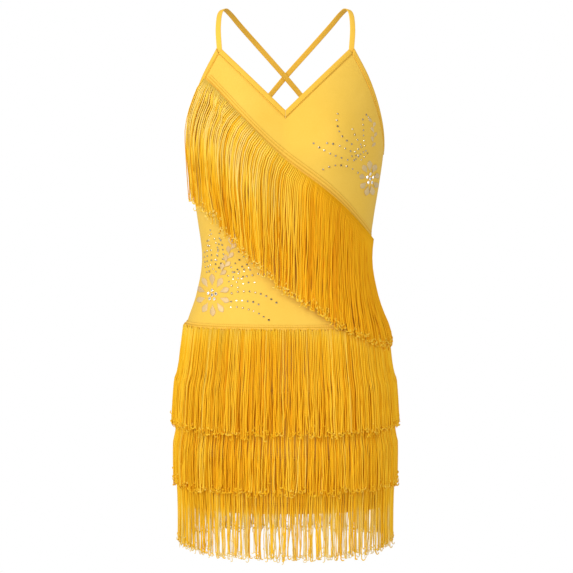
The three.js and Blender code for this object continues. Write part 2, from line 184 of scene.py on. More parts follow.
def put(name, points, faces, uv, tone=None, rounded=None, crisp=False):
    """
    One mesh object from points in millimetres and quads. A quad that repeats a corner goes
    in as a triangle. The first `rounded` faces are shaded smooth, or all when it is None;
    edges that turn by more than CRISP degrees can be kept sharp.
    """
    faces = np.asarray(faces, np.int32)
    bent = (faces == np.roll(faces, 1, axis=1)).any(axis=1)
    quads, triangles = faces[~bent], faces[bent]
    triangles = triangles[triangles != np.roll(triangles, 1, axis=1)]
    loops = np.concatenate([quads.ravel(), triangles])
    totals = np.repeat([4, 3], [len(quads), len(triangles) // 3]).astype(np.int32)
    mesh = bpy.data.meshes.new(name)
    mesh.vertices.add(len(points))
    mesh.vertices.foreach_set("co", (points * MM).astype(np.float32).ravel())
    mesh.loops.add(len(loops))
    mesh.loops.foreach_set("vertex_index", loops)
    mesh.polygons.add(len(totals))
    mesh.polygons.foreach_set("loop_start", (totals.cumsum() - totals).astype(np.int32))
    mesh.polygons.foreach_set("loop_total", totals)
    smooth = np.arange(len(totals)) < (len(totals) if rounded is None else rounded)
    mesh.polygons.foreach_set("use_smooth", smooth)
    layer = mesh.uv_layers.new(name="cut")
    layer.data.foreach_set("uv", uv.astype(np.float32)[loops].ravel())
    if tone is not None:
        attribute = mesh.attributes.new("tone", "FLOAT", "POINT")
        attribute.data.foreach_set("value", tone.astype(np.float32))
    mesh.update(calc_edges=True)
    if crisp:
        mesh.set_sharp_from_angle(angle=np.radians(CRISP))
    print(f"{name}: {len(totals)} faces")
    return link(name, mesh)


def wall_faces(rows, columns, ring=False):
    """
    Faces of a wall: layer 0 inside and layer 1 outside, each rows x columns. The rows go up
    the inside and down the outside as one closed band, and an open wall has its ends shut.
    """
    ids = np.arange(2 * rows * columns).reshape(2, rows, columns)
    band = np.concatenate([ids[0], ids[1, ::-1], ids[0, :1]])
    if ring:
        band = np.concatenate([band, band[:, :1]], axis=1)
    faces = [np.stack([band[:-1, :-1], band[1:, :-1], band[1:, 1:], band[:-1, 1:]], axis=-1)]
    if not ring:
        (low, high), (far_low, far_high) = ids[:, :, 0], ids[:, :, -1]
        faces += [np.stack([low[:-1], high[:-1], high[1:], low[1:]], axis=-1),
                  np.stack([far_low[:-1], far_low[1:], far_high[1:], far_high[:-1]], axis=-1)]
    return np.concatenate([part.reshape(-1, 4) for part in faces])


def wall(name, inner, outer, ring=False, tone=None):
    """A closed wall between two grids of points. Its UV map is metres along the cloth."""
    rows, columns = inner.shape[:2]
    u, v = run_length(outer).mean(axis=0), outer[:, columns // 2, 2]
    grid = np.stack(np.broadcast_arrays(u[None, :], v[:, None]), axis=-1).reshape(-1, 2) * MM
    points = np.concatenate([inner.reshape(-1, 3), outer.reshape(-1, 3)])
    if tone is not None:
        tone = np.tile(tone.ravel(), 2)
    return put(name, points, wall_faces(rows, columns, ring), np.tile(grid, (2, 1)), tone,
               crisp=True)


def tubes(name, paths, radius, out, tone):
    """
    Four-sided tubes along many paths at once. paths is strands x steps x 3 and radius
    strands x steps. At each step a ring of points stands round the path: radius * (cos *
    out + sin * side), where side is square to the path and to out. Flat caps close the ends.
    """
    strands, steps = paths.shape[:2]
    along = unit(np.gradient(paths, axis=1))
    side = unit(np.cross(along, out))
    up = np.cross(side, along)
    turn = np.linspace(0, 2 * np.pi, 4, endpoint=False)
    rings = paths[:, :, None, :] + radius[:, :, None, None] * (
        np.cos(turn)[:, None] * up[:, :, None, :] + np.sin(turn)[:, None] * side[:, :, None, :]
    )
    ids = np.arange(rings[..., 0].size).reshape(strands, steps, 4)
    after = np.roll(ids, -1, axis=2)
    walls = np.stack([ids[:, :-1], ids[:, 1:], after[:, 1:], after[:, :-1]], axis=-1)
    walls = walls.reshape(-1, 4)
    uv = np.stack(np.broadcast_arrays(
        turn / (2 * np.pi), run_length(paths)[:, :, None] * MM
    ), axis=-1).reshape(-1, 2)
    faces = np.concatenate([walls, ids[:, 0], ids[:, -1, ::-1]])
    return put(name, rings.reshape(-1, 3), faces, uv, np.repeat(tone.ravel(), 4),
               rounded=len(walls))


# %% [markdown]
# ## Camera, floor and light
# The dress hangs in the air as it would on a wearer, against white. The camera stands 2.5 m
# in front of it, at the height of the chest, and looks slightly down at its middle. A large
# soft lamp at the upper left is the main light, so that the right side is a little deeper.

# %% Camera
EYE = Vector((0.0015, -2.52, -0.266))
AIM = Vector((0.0015, 0.0, -0.399))
camera_data = bpy.data.cameras.new("camera")
camera_data.lens = 109.1
camera_data.sensor_width = 36
camera = link("camera", camera_data)
camera.location = EYE
camera.rotation_euler = (AIM - EYE).to_track_quat("-Z", "Y").to_euler()
bpy.context.scene.camera = camera
bpy.context.scene.view_settings.view_transform = "Standard"


# %% Floor and lights
def lamp(name, place, aim, size, power):
    """A round white area lamp that faces its aim."""
    data = bpy.data.lights.new(name, "AREA")
    data.shape = "DISK"
    data.size = size
    data.energy = power
    light = link(name, data)
    light.location = place
    light.rotation_euler = (Vector(aim) - Vector(place)).to_track_quat("-Z", "Y").to_euler()


def white_to_the_eye(tree, lit, output):
    """Mixes a lit surface with plain white, so that the backdrop itself is seen as white."""
    path = tree.nodes.new("ShaderNodeLightPath")
    white = tree.nodes.new("ShaderNodeBackground" if output.type == "OUTPUT_WORLD"
                           else "ShaderNodeEmission")
    white.inputs["Color"].default_value = (1, 1, 1, 1)
    white.inputs["Strength"].default_value = 1.0
    mixed = tree.nodes.new("ShaderNodeMixShader")
    tree.links.new(path.outputs["Is Camera Ray"], mixed.inputs[0])
    tree.links.new(lit.outputs[0], mixed.inputs[1])
    tree.links.new(white.outputs[0], mixed.inputs[2])
    tree.links.new(mixed.outputs[0], output.inputs["Surface"])


FLOOR_LEVEL = -1.25
FLOOR_HALF = 14.0
corners = [(-1, -1), (1, -1), (1, 1), (-1, 1)]
floor_mesh = bpy.data.meshes.new("floor")
floor_mesh.from_pydata(
    [(x * FLOOR_HALF, y * FLOOR_HALF, FLOOR_LEVEL) for x, y in corners], [], [(0, 1, 2, 3)]
)
link("floor", floor_mesh)
floor_finish = bpy.data.materials.new("floor_white")
floor_finish.use_nodes = True
floor_nodes = floor_finish.node_tree.nodes
floor_nodes["Principled BSDF"].inputs["Base Color"].default_value = (0.8, 0.8, 0.8, 1)
floor_nodes["Principled BSDF"].inputs["Roughness"].default_value = 0.9
white_to_the_eye(floor_finish.node_tree, floor_nodes["Principled BSDF"],
                 floor_nodes["Material Output"])
floor_mesh.materials.append(floor_finish)

world = bpy.data.worlds.new("studio")
world.use_nodes = True
world_nodes = world.node_tree.nodes
world_nodes["Background"].inputs["Color"].default_value = (1, 1, 1, 1)
world_nodes["Background"].inputs["Strength"].default_value = 0.57
white_to_the_eye(world.node_tree, world_nodes["Background"], world_nodes["World Output"])
bpy.context.scene.world = world
CHEST = (0, 0, -0.35)
lamp("key", (-1.7, -1.9, 0.8), CHEST, size=2.0, power=50)
lamp("fill", (1.4, -2.3, 0.2), CHEST, size=1.4, power=17)
print("camera", round((AIM - EYE).length, 2), "m from the middle of the dress")

# %% [markdown]
# ## Finishes
# Two finishes make most of the dress. The cloth is matte knit with a faint sheen: its wales,
# rows of small loops, are a bump along its UV map. The strands are silky twisted yarn: their
# twist is a slanted bump round each strand, and each strand has a tone of its own, kept in
# an attribute, because dyed yarn never takes the colour evenly. The same tone also holds
# painted light and shade, such as painted shade on inner layers and in the twist's grooves
# and painted highlights at tips and tops. Light that bounces between yellow strands turns
# deep gaps orange, and a faint painted orange glow adds to it.

# %% Helpers for node trees
def finish(name, roughness, specular, sheen=0.0, metallic=0.0):
    """A new material with its shader's constant values set on the shader itself."""
    material = bpy.data.materials.new(name)
    material.use_nodes = True
    shader = material.node_tree.nodes["Principled BSDF"]
    shader.inputs["Roughness"].default_value = roughness
    shader.inputs["Sheen Weight"].default_value = sheen
    shader.inputs["Sheen Roughness"].default_value = 0.4
    shader.inputs["Sheen Tint"].default_value = (1, 0.85, 0.5, 1)
    shader.inputs["Specular IOR Level"].default_value = specular
    shader.inputs["Metallic"].default_value = metallic
    return material, material.node_tree, shader


def node(tree, kind, **settings):
    """A new node with its sockets, or else its own settings, given by name."""
    made = tree.nodes.new(kind)
    for key, value in settings.items():
        if key in made.inputs:
            made.inputs[key].default_value = value
        else:
            setattr(made, key, value)
    return made


def maths(tree, operation, first, second=None):
    """The output of a math node, fed by numbers or by other outputs."""
    made = node(tree, "ShaderNodeMath", operation=operation)
    for socket, value in zip(made.inputs, (first, second)):
        if isinstance(value, (int, float)):
            socket.default_value = value
        elif value is not None:
            tree.links.new(value, socket)
    return made.outputs[0]


def wave(tree, distance, length):
    """Sine of a distance along the map, one wave for every length millimetres."""
    return maths(tree, "SINE", maths(tree, "MULTIPLY", distance, 2 * np.pi / (length * MM)))


def cut_map(tree):
    """The two distances of the piece's own UV map."""
    split = tree.nodes.new("ShaderNodeSeparateXYZ")
    uv = node(tree, "ShaderNodeUVMap", uv_map="cut")
    tree.links.new(uv.outputs[0], split.inputs[0])
    return split.outputs[0], split.outputs[1]


def tone_of(tree):
    """The tone kept at each point of the mesh."""
    return node(tree, "ShaderNodeAttribute", attribute_name="tone").outputs["Fac"]


def noise(tree, scale, detail):
    """Noise fixed to the object."""
    made = node(tree, "ShaderNodeTexNoise", Scale=scale, Detail=detail)
    place = tree.nodes.new("ShaderNodeTexCoord")
    tree.links.new(place.outputs["Object"], made.inputs["Vector"])
    return made.outputs[0]


def paint(tree, shader, fac, stops):
    """Base colour from a ramp with the given (place, colour) stops."""
    made = tree.nodes.new("ShaderNodeValToRGB")
    elements = made.color_ramp.elements
    while len(elements) < len(stops):
        elements.new(0.5)
    for element, (place, colour) in zip(elements, stops):
        element.position = place
        element.color = (*colour, 1)
    tree.links.new(fac, made.inputs[0])
    tree.links.new(made.outputs[0], shader.inputs["Base Color"])


def bump(tree, shader, height, strength, distance):
    """Tilts the surface by a height, as if it stood up by distance metres."""
    made = node(tree, "ShaderNodeBump", Strength=strength, Distance=distance)
    tree.links.new(height, made.inputs["Height"])
    tree.links.new(made.outputs[0], shader.inputs["Normal"])


def glow(shader, colour, strength):
    """Light that the surface itself gives."""
    shader.inputs["Emission Color"].default_value = (*colour, 1)
    shader.inputs["Emission Strength"].default_value = strength


# %% Knit cloth
def knit(name, dark, light, wale=0.9, strength=0.35, by_tone=False):
    """
    Matte stretch knit. Height is a product of two waves along the UV map, wale millimetres
    across and three quarters of that along; colour drifts slowly between dark and light,
    or runs between them by each point's tone, which on the tape is painted shade.
    """
    material, tree, shader = finish(name, 0.8, specular=0.2, sheen=0.12)
    u, v = cut_map(tree)
    ribs = maths(tree, "ABSOLUTE", wave(tree, u, wale))
    rows = maths(tree, "MULTIPLY", wave(tree, v, 0.75 * wale), 0.4)
    loops = maths(tree, "MULTIPLY", ribs, maths(tree, "ADD", rows, 0.6))
    bump(tree, shader, loops, strength, 0.0002)
    mixed = maths(tree, "ADD", maths(tree, "MULTIPLY", noise(tree, 14.0, 3.0), 0.6),
                  maths(tree, "MULTIPLY", noise(tree, 900.0, 1.0), 0.4))
    if by_tone:
        mixed = maths(tree, "ADD", maths(tree, "MULTIPLY", mixed, 0.3),
                      maths(tree, "MULTIPLY", tone_of(tree), 0.6))
    paint(tree, shader, mixed, [(0.3, dark), (0.7, light)])
    return material


CLOTH_GOLD = knit("golden_knit", (0.81, 0.50, 0.060), (0.87, 0.555, 0.084))
BINDING_GOLD = knit("binding_knit", (0.81, 0.46, 0.042), (0.88, 0.53, 0.065), wale=0.8)
# The strap knit is painted lighter than the cloth's, as painted light against the shade the straps
# lie in.
STRAP_GOLD = knit("strap_knit", (0.89, 0.515, 0.055), (0.92, 0.555, 0.065), strength=0.05)


# %% Twisted yarn
THROUGH_LIGHT = 0.065
PALE = (0.92, 0.74, 0.28)
LAY = 3.2


def yarn(name, deep, middle, bright):
    """
    Silky twisted yarn. A faint orange glow, painted light, stands for the light that comes
    through from the strands around. Height is a wave of the turn round the strand plus its
    length over LAY, so that ridges climb round it. Colour runs deep-middle-bright-pale by the
    strand's tone, a little lighter on the ridges and darker in the grooves as painted shade.
    """
    material, tree, shader = finish(name, 0.5, specular=0.12)
    # painted light: a faint orange glow, though the yarn is no lamp
    glow(shader, (1.0, 0.38, 0.0), THROUGH_LIGHT)
    turn, length = cut_map(tree)
    climb = maths(tree, "ADD", maths(tree, "MULTIPLY", turn, 2 * LAY * MM), length)
    ridge = wave(tree, climb, LAY)
    bump(tree, shader, ridge, 0.5, 0.0003)
    # painted shade: tone raised on the twist's ridges and lowered in its grooves
    groove_shaded_tone = maths(tree, "ADD", tone_of(tree), maths(tree, "MULTIPLY", ridge, 0.06))
    paint(tree, shader, groove_shaded_tone, [(0.06, deep), (0.34, middle), (0.62, bright), (0.95, PALE)])
    return material


BODICE_YARN = yarn("bodice_yarn", (0.80, 0.33, 0.003), (0.90, 0.475, 0.006), (0.98, 0.67, 0.06))
SKIRT_YARN = yarn("skirt_yarn", (0.82, 0.35, 0.003), (0.91, 0.485, 0.008), (0.97, 0.62, 0.035))
# the tape's colour runs by a tone of painted shade, darker in its valleys and at its edges
TAPE_YARN = knit("tape_chain", (0.60, 0.32, 0.02), (0.86, 0.52, 0.07), wale=1.6, strength=0.5,
                 by_tone=True)
THREAD = knit("thread", (0.42, 0.23, 0.02), (0.56, 0.33, 0.04), wale=0.6)

# %% [markdown]
# ## The cut edges
# The V, the armholes and the scoop of the back are lines on the figure. The panels stop a
# binding's width short of them, and the bindings fill that width, as on the real dress.

# %% Edges
ARMHOLE_RISE = STRAP_TIP - UNDERARM
ARMHOLE_SWEEP = 44
ARMHOLE_BEND = 0.72
EDGE_TURN = np.hypot(1, NECK_SLOPE)


def armhole_edge(q):
    """Finished armhole edge from 0, under the arm, to 1, at the strap: (angle, z)."""
    return 90 - ARMHOLE_SWEEP * q ** ARMHOLE_BEND, UNDERARM + ARMHOLE_RISE * q


def armhole_seam(q):
    """Inner edge of the armhole binding."""
    return (90 - ARMHOLE_SWEEP * q ** ARMHOLE_BEND - 3 * q ** 0.3,
            UNDERARM - BINDING_WIDTH + ARMHOLE_RISE * q)


def neck_level(x, inset):
    """Level of the V's edge at x, inset by a width measured square to it."""
    return NECK_POINT + NECK_SLOPE * np.abs(x) - inset * EDGE_TURN


def smooth_step(value, low, high):
    t = np.clip((value - low) / (high - low), 0, 1)
    return t * t * (3 - 2 * t)


def back_level(angle):
    """Finished edge of the back: level at the sides, softly scooped between the straps."""
    share = np.abs(np.sin(np.radians(angle))) ** ROUNDNESS
    return BACK_SCOOP + (UNDERARM - BACK_SCOOP) * smooth_step(share, 0.04, 0.78)


def crossing(value, low, high):
    """Where value(t) changes sign, by halving arrays of intervals forty times."""
    low, high = np.asarray(low, float), np.asarray(high, float)
    start = np.sign(value(low))
    for _ in range(40):
        middle = (low + high) / 2
        before = np.sign(value(middle)) == start
        low, high = np.where(before, middle, low), np.where(before, high, middle)
    return (low + high) / 2


def past_tip(q):
    angle, z = armhole_seam(q)
    return z - neck_level(on_figure(angle, z)[..., 0], BINDING_WIDTH)


TIP = float(crossing(past_tip, 0.6, 1.0))
print("the panel's tip is at share", round(TIP, 3), "of the armhole")

# %% [markdown]
# ## Front and back
# Each panel is one thin shell over the figure, from the hem up to its bound edge. A worn
# knit is not perfectly smooth: it pulls into shallow troughs from the bust to the waist and
# across the small of the back. Those are listed one by one, each a soft slanted groove.

# %% Soft creases
# angle and height of the middle, half length along it, half width, slant and depth
FRONT_CREASES = [
    (66, -232, 30, 7, 0.55, 0.9), (58, -262, 34, 8, 0.40, 0.7), (-50, -372, 42, 9, 0.16, 0.8),
    (-30, -404, 46, 8, 0.06, 0.6), (40, -392, 40, 9, -0.15, 0.7), (20, -170, 26, 8, 0.6, 0.5),
    (47, -118, 24, 6, 1.1, 0.5), (-62, -340, 26, 7, 0.3, 0.6),
]
BACK_CREASES = [
    (180, -352, 60, 9, 0.0, 1.1), (196, -330, 46, 8, 0.2, 0.9), (163, -374, 48, 8, 0.15, 0.9),
    (214, -258, 34, 9, 0.6, 0.8), (146, -258, 34, 9, -0.6, 0.8), (185, -398, 52, 8, -0.1, 0.8),
    (124, -300, 26, 8, 0.4, 0.6), (236, -300, 26, 8, -0.4, 0.6),
]


def troughs(angle, z, creases):
    """Sum of grooves: each is -depth * exp(-(along / length)^2 - (across / width)^2)."""
    total = np.zeros(np.broadcast(angle, z).shape)
    for middle, level, length, width, slant, depth in creases:
        x, up = (angle - middle) * 2.1, z - level
        along = (x + slant * up) / np.hypot(1, slant)
        across = (up - slant * x) / np.hypot(1, slant)
        total -= depth * np.exp(-(along / length) ** 2 - (across / width) ** 2)
    return total


# %% Panels
COLUMNS = 110
ROWS = 110
BACK_LOW = -260.0
NOT_NEAR = 99.0


def hem_fold(z):
    """Extra lift of the turned hem, 14 mm deep, with a groove where it is stitched."""
    above = z - CLOTH_HEM
    return 0.35 * (1 - smooth_step(above, 12, 16)) - 0.4 * np.exp(-((above - 13) / 1.2) ** 2)


def panel(name, angles, z, creases, side_gap, edge_gap):
    """Lift is the sum of creases, hem, a roll at the side seams and a groove at bound edges."""
    roll = -1.1 * np.exp(-(side_gap / 1.8) ** 2)
    groove = -0.9 * np.exp(-(edge_gap / 1.5) ** 2)
    lift = troughs(angles, z, creases) + hem_fold(z) + roll + groove
    return wall(name, lifted(angles, z, lift - CLOTH), lifted(angles, z, lift))


def front_panel():
    """The front: level rows up to the armholes, then rows that bend to meet V and straps."""
    start = UNDERARM - BINDING_WIDTH
    tip = float(armhole_seam(TIP)[1])
    sides = np.sin(np.linspace(-1, 1, COLUMNS + 1) * np.pi / 2 * 0.9) / np.sin(np.pi / 2 * 0.9)

    def side_angle(z):
        q = np.clip((z - start) / ARMHOLE_RISE, 0, 1)
        return np.where(z > start, armhole_seam(q)[0], 90.0)

    def above_neck(z):
        return z - neck_level(on_figure(sides * side_angle(z), z)[..., 0], BINDING_WIDTH)

    tops = np.minimum(crossing(above_neck, np.full(sides.shape, start), tip + 5), tip)
    tops[[0, -1]] = tip
    low = np.linspace(CLOTH_HEM, start, ROWS)[:, None] + 0 * sides
    share = (np.linspace(0, 1, 46)[1:] ** 1.3)[:, None]
    z = np.concatenate([low, start + share * (tops - start)])
    angles = sides * side_angle(z)
    from_seam = (1 - np.abs(sides)) * 240 + np.maximum(0, z - start) * 3
    x = on_figure(angles, z)[..., 0]
    from_neck = (neck_level(x, BINDING_WIDTH) - z) / EDGE_TURN
    from_armhole = np.where(z > start, (1 - np.abs(sides)) * 140, NOT_NEAR)
    return panel("front", angles, z, FRONT_CREASES, from_seam,
                 np.minimum(np.abs(from_neck), from_armhole))


def back_panel():
    """The back: level rows up to BACK_LOW, then rows that bend to meet its scoop."""
    angles = np.linspace(90, 270, COLUMNS + 1)
    low = np.linspace(CLOTH_HEM, BACK_LOW, 100)[:, None] + 0 * angles
    share = np.linspace(0, 1, 14)[1:, None]
    z = np.concatenate([low, BACK_LOW + share * (back_level(angles) - BINDING_WIDTH - BACK_LOW)])
    from_seam = np.minimum(angles - 90, 270 - angles) * 2.4 + 0 * z
    from_edge = back_level(angles) - BINDING_WIDTH - z
    return panel("back", angles + 0 * z, z, BACK_CREASES, from_seam, from_edge)


front = front_panel()
back = back_panel()

# %% [markdown]
# ## Bindings and straps
# A binding is a strip folded over the raw edge and stitched down: fuller along its middle,
# pinched at the stitches, rounded over the edge. It is swept as a closed section along the
# cut edge. A strap is a flat tube of the same knit on its own route over the shoulder.

# %% Sections
BINDING_BACK, BINDING_FULL = -1.5, 0.55


def swept(name, seam, edge):
    """
    A binding between two lines of (angle, z) places. The section goes out along the face,
    round the edge and back inside: lift = pinch + BINDING_FULL * sin(pi * share across).
    """
    share = np.concatenate([np.linspace(0, 1, 9), [1.03, 1.0], np.linspace(0.9, 0, 4)])
    face = 0.25 + BINDING_FULL * np.sin(np.pi * share[:9]) ** 0.7
    face[[0, 8]] = 0.05, 0.1
    lift = np.concatenate([face, [-0.6], np.full(5, BINDING_BACK)])
    places = seam[:, None, :] + share[:, None] * (edge - seam)[:, None, :]
    return section_sweep(name, lifted(places[..., 0], places[..., 1], lift + 0 * places[..., 0]))


def section_sweep(name, points):
    """A closed skin over points[place along][place round], with a fan over each end."""
    count, around = points.shape[:2]
    ids = np.arange(count * around).reshape(count, around)
    after = np.roll(ids, -1, axis=1)
    skin = np.stack([ids[:-1], after[:-1], after[1:], ids[1:]], axis=-1).reshape(-1, 4)
    first, last = np.full((2, around), ids.size) + [[0], [1]]
    fans = [np.stack([first, after[0], ids[0], ids[0]], axis=-1),
            np.stack([last, ids[-1], after[-1], after[-1]], axis=-1)]
    length = run_length(points[:, 0])
    girth = np.linalg.norm(np.roll(points[0], -1, axis=0) - points[0], axis=1).cumsum()
    uv = np.stack(np.broadcast_arrays(girth[None, :], length[:, None]), axis=-1).reshape(-1, 2)
    uv = np.concatenate([uv, [[0, 0], [0, length[-1]]]]) * MM
    everything = np.concatenate([points.reshape(-1, 3), points[[0, -1]].mean(axis=1)])
    return outwards(put(name, everything, np.concatenate([skin, *fans]), uv,
                        np.full(len(everything), 0.5)))


def outwards(piece):
    """Turns the whole piece right side out, if its signed volume says it is inside out."""
    mesh = piece.data
    mesh.calc_loop_triangles()
    corners = np.empty(len(mesh.loop_triangles) * 3, np.int32)
    mesh.loop_triangles.foreach_get("vertices", corners)
    points = np.empty(len(mesh.vertices) * 3, np.float32)
    mesh.vertices.foreach_get("co", points)
    a, b, c = points.reshape(-1, 3)[corners.reshape(-1, 3)].transpose(1, 0, 2)
    if np.einsum("ij,ij->i", a, np.cross(b, c)).sum() < 0:
        mesh.flip_normals()
    return piece


# %% Bindings
SEAM_END = float(on_figure(*armhole_seam(TIP))[0])
EDGE_END = SEAM_END - BINDING_WIDTH * NECK_SLOPE / EDGE_TURN + 0.8


def neck_lines(side):
    """The seam and the finished edge of one side of the V, as lines of (angle, z) places."""
    lines = []
    for inset, end in ((BINDING_WIDTH, SEAM_END), (0, EDGE_END)):
        x = side * np.linspace(0.05, end, 90)
        z = neck_level(x, inset)
        lines.append(pair(angle_at(x, z), z))
    return lines


def armhole_lines(side, count):
    """The seam and the finished edge of one armhole."""
    q = np.linspace(0, 1, count) ** 1.5
    return [pair(*line) * [side, 1] for line in (armhole_seam(q * TIP), armhole_edge(q))]


def back_lines(angles):
    """The seam and the finished edge of the back."""
    edge = pair(angles, back_level(angles))
    return [edge - [0, BINDING_WIDTH], edge]


bindings = {}
for side, word in ((-1, "left"), (1, "right")):
    for edge_name, lines in (("neck", neck_lines(side)), ("armhole", armhole_lines(side, 90))):
        bindings[f"{edge_name}_binding_{word}"] = swept(
            f"{edge_name}_binding_trim_{word}", *lines)
bindings["back_binding"] = swept("back_binding_trim", *back_lines(np.linspace(90, 270, 160)))


# %% Straps
def smooth_route(points, count):
    """A smooth path through a few points, its slopes from their neighbours."""
    points = np.asarray(points, float)
    gaps = np.sqrt(np.linalg.norm(np.diff(points, axis=0), axis=1))
    at = np.concatenate([[0], gaps.cumsum()])
    return cubic(at, points, np.gradient(points, at, axis=0), np.linspace(0, at[-1], count))


def strap(name, side, crossing_lift):
    """A flat tube 8 mm wide and 1.6 mm thick along its route from front tip to back."""
    def place(x, z, lift, back):
        return lifted(angle_at(x, z, back), z, lift)

    route = [
        place(94.5, -76, -3.3, False), place(94.6, -62, -3.0, False),
        (95.6, -34, -30), (93.5, -14, -5.5), (88.5, 0, 0.75), (81, 22, -3), (66, 47, -19),
        (40, 73, -46.5), place(0.01, -90.5, crossing_lift, True),
        place(-27.6, -122.5, 0, True), place(-60, -160, -1.6, True),
        place(-85, -189, -2.9, True), place(-95, -200.5, -3.3, True),
    ]
    path = smooth_route(route, 120)
    along = unit(np.gradient(path, axis=0))
    out = np.stack([path[:, 0] * 0.003, path[:, 1] / 60, np.maximum(0, path[:, 2] + 72) / 72],
                   axis=-1)
    out = unit(out - (out * along).sum(axis=1, keepdims=True) * along)
    wide = np.cross(out, along)
    turn = np.linspace(0, 2 * np.pi, 20, endpoint=False)
    flat = np.sign(np.cos(turn)) * np.abs(np.cos(turn)) ** 0.35 * STRAP_WIDTH / 2
    thick = np.sign(np.sin(turn)) * np.abs(np.sin(turn)) ** 0.8 * 0.8
    ring = flat[:, None] * wide[:, None] + thick[:, None] * out[:, None]
    return section_sweep(name, (path[:, None] + ring) * [side, 1, 1])


strap_left = strap("strap_knit_left", -1, 0.5)
strap_right = strap("strap_knit_right", 1, 3.5)

# %% [markdown]
# ## Header tapes
# The strands of a fringe are caught in a narrow tape of chain stitches, which is sewn to the
# dress. Three chains run along it. Their loops are real relief here, because the tape shows
# plainly above the strands.

# %% Tapes
CHAIN_LOOP = 3.4


def chain_relief(u, s):
    """Height at shares u across a tape and lengths s along it: ridges with leaning loops."""
    height = np.zeros(np.broadcast(u, s).shape)
    for middle in (0.14, 0.5, 0.86):
        off = (u - middle) / 0.14
        loop = 0.5 + 0.5 * np.cos(2 * np.pi * (s / CHAIN_LOOP - np.abs(off) * 0.35))
        height += 0.7 * np.exp(-off ** 4 * 1.4) * (0.4 + 0.6 * loop)
    return height


def tape(name, top, bottom, lift, ring=False):
    """A tape between two lines of (angle, z) places, lying at lift off the cloth."""
    share = np.linspace(0, 1, 17)[:, None, None]
    places = bottom[None] + share * (top - bottom)[None]
    middle = on_figure(places[8, :, 0], places[8, :, 1])
    relief = chain_relief(share[..., 0], run_length(middle))
    edge = smooth_step(np.minimum(share, 1 - share)[..., 0], 0, 0.05)
    outer = lifted(places[..., 0], places[..., 1], lift + 0.15 + 0.25 * edge + relief * edge)
    inner = lifted(places[..., 0], places[..., 1], lift + 0 * relief)
    # painted shade: tone darker in the valleys between the chains and at the edges, lighter on the
    # ridges
    return wall(name, inner, outer, ring, tone=0.3 + 0.7 * edge * np.minimum(1, relief / 0.45))


ring_angles = np.linspace(-90, 270, 760, endpoint=False)
skirt_tapes = []
for tier, top in enumerate(TAPE_TOPS):
    level = np.full(ring_angles.shape, top)
    skirt_tapes.append(tape(
        f"skirt_header_{tier + 1}", pair(ring_angles, level),
        pair(ring_angles, level - TAPE_WIDTH), lift=0.4, ring=True,
    ))


# %% The diagonal tape
DIAGONAL_LEFT = (-105.0, -97.0)
DIAGONAL_RIGHT = (123.0, -316.0)
DIAGONAL_SLANT = 1.39


def diagonal_level(x):
    """Level of the diagonal tape's top edge: straight, swaying down over its first half."""
    t = (x - DIAGONAL_LEFT[0]) / (DIAGONAL_RIGHT[0] - DIAGONAL_LEFT[0])
    straight = DIAGONAL_LEFT[1] + t * (DIAGONAL_RIGHT[1] - DIAGONAL_LEFT[1])
    return straight - 8 * np.sin(2 * np.pi * np.maximum(t, 0) ** 1.25)


def below_tape(t, x, gap):
    """The tape's bottom edge below share t of its top edge: square to it at the left end."""
    across = x - (1 - t) * TAPE_WIDTH * np.sqrt(0.5)
    return across, diagonal_level(across) - TAPE_WIDTH * DIAGONAL_SLANT - gap


def diagonal_xs(t):
    """Places along the tape's top edge, evenly round the figure."""
    first = angle_at(*DIAGONAL_LEFT)
    last = angle_at(*DIAGONAL_RIGHT)
    angle = first + t * (last - first)

    def off(x):
        return on_figure(angle, diagonal_level(x))[..., 0] - x

    return crossing(off, np.full(t.shape, DIAGONAL_LEFT[0] - 2), DIAGONAL_RIGHT[0] + 2)


t = np.linspace(0, 1, 260)
top_x = diagonal_xs(t)
low_x, low_z = below_tape(t, top_x, 0)
top_z = diagonal_level(top_x)
bodice_tape = tape("bodice_header", pair(angle_at(top_x, top_z), top_z),
                   pair(angle_at(low_x, low_z), low_z), lift=0.3)

# %% [markdown]
# ## Fringe
# Each strand is a soft twisted cord, looped at its end. It could be hair or a simulation,
# but neither keeps the even fall of real fringe or stays put, so each strand's path is
# worked out. It leaves the tape, lies on what is under it, drifts towards its neighbours in
# small clumps, and ends in a little hook. Every strand is a real tube.

# %% What all strands share
STRAND_RADIUS = 0.8
HOOK_STEPS = 4
HOOK_RADIUS = (0.9, 2.8)


def clump(place, width, strength, rng):
    """How far each strand drifts sideways to its clump's middle by its end."""
    edges = np.cumsum(rng.uniform(0.5, 1.5, int((place.max() - place.min()) / width * 1.3) + 3))
    edges = place.min() + (edges - edges[0]) * width - width
    index = np.searchsorted(edges, place)
    middle = (edges[np.clip(index - 1, 0, None)] + edges[np.clip(index, 0, len(edges) - 1)]) / 2
    return (middle - place) * strength


def hooks(paths, out, rng):
    """Adds a small hook to each strand's end: part of a circle in the plane of the fringe."""
    count = len(paths)
    down = unit(paths[:, -1] - paths[:, -2])
    side = unit(np.cross(down, out[:, -1])) * rng.choice([-1, 1], (count, 1))
    side = unit(side + out[:, -1] * rng.uniform(-0.3, 0.8, (count, 1)))
    radius = rng.uniform(*HOOK_RADIUS, (count, 1, 1))
    sweep = rng.uniform(1.6, 4.3, (count, 1, 1))
    turn = sweep * np.linspace(0, 1, HOOK_STEPS + 1)[1:][None, :, None]
    curl = radius * (np.sin(turn) * down[:, None] + (1 - np.cos(turn)) * side[:, None])
    return (np.concatenate([paths, paths[:, -1:] + curl], axis=1),
            np.concatenate([out, np.repeat(out[:, -1:], HOOK_STEPS, axis=1)], axis=1))


def strand_radii(count, steps, rng):
    """Radius along each strand: even, and a little fat at its hook."""
    fat = 1 + 0.12 * smooth_step(np.linspace(0, 1, steps), 0.9, 1.0)
    radius = STRAND_RADIUS * rng.uniform(0.85, 1.15, (count, 1)) * fat
    radius[:, -1] *= 0.6
    return radius


